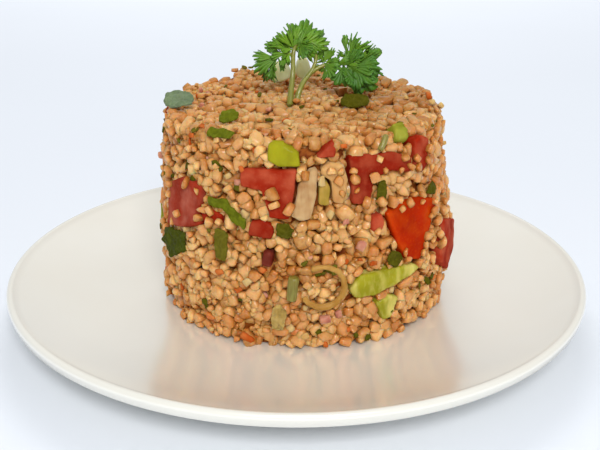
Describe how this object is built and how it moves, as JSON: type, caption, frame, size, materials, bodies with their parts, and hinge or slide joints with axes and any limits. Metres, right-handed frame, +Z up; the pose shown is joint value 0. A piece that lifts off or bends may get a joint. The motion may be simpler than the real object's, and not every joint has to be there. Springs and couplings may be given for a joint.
{
  "type": "plate of kisir",
  "caption": "Moulded drum of kisir, a bulgur salad with cut tomato, cucumber, onion and herbs, on a round cream plate with a sprig of curly parsley on top.",
  "frame": {"origin": "centre of the plate's foot ring, on the surface it stands on", "axes": "+Z up; -Y towards the side that is seen first; +X to the right from there"},
  "size_m": [0.1852, 0.1852, 0.0928],
  "materials": {
    "glaze": "glossy cream glaze",
    "bulgur": "moist cooked bulgur stained with tomato paste, translucent at the edges",
    "tomato": "wet cut tomato",
    "tomato_ripe": "wet ripe tomato, brighter red-orange",
    "cucumber": "wet yellow-green cucumber",
    "pepper": "wet green pepper",
    "onion": "translucent pale onion",
    "onion_green": "translucent pale green onion",
    "onion_purple": "purple onion skin",
    "leaf_olive": "dressed olive-green leaf",
    "leaf_blue": "blue-green leaf",
    "spring_onion": "fresh green spring onion",
    "parsley": "fresh parsley leaf"
  },
  "bodies": {
    "root": {"cucumber_back_left": "cucumber", "cucumber_back_right": "cucumber", "cucumber_low": "cucumber", "cucumber_top": "cucumber", "cucumber_wedge": "cucumber", "kisir": "bulgur", "leaf_back": "parsley", "leaf_back_high": "parsley", "leaf_back_left": "spring_onion", "leaf_base": "leaf_olive", "leaf_centre": "parsley", "leaf_far_right": "parsley", "leaf_left": "parsley", "leaf_low_right": "parsley", "leaf_olive": "leaf_olive", "leaf_ribbon": "spring_onion", "leaf_right": "parsley", "leaf_shoulder": "spring_onion", "leaf_top_front": "spring_onion", "leaf_top_left": "leaf_blue", "leaf_top_right": "parsley", "onion_back_right": "onion", "onion_beige": "onion", "onion_green": "onion_green", "onion_petal": "onion", "onion_purple": "onion_purple", "onion_ring": "onion", "onion_top_left": "onion", "onion_top_right": "onion", "parsley_sprig": "parsley", "pepper_back_left": "pepper", "pepper_strip": "pepper", "plate": "glaze", "spring_onion_tube": "leaf_olive", "stem_shoulder": "spring_onion", "tomato_back": "tomato", "tomato_back_high": "tomato", "tomato_back_left": "tomato", "tomato_back_low": "tomato_ripe", "tomato_back_right": "tomato", "tomato_bright": "tomato_ripe", "tomato_centre": "tomato", "tomato_centre_low": "tomato", "tomato_edge": "tomato", "tomato_left": "tomato", "tomato_left_low": "tomato", "tomato_right": "tomato", "tomato_tail": "tomato", "tomato_tip": "tomato", "tomato_upper_right": "tomato"}
  },
  "joints": []
}
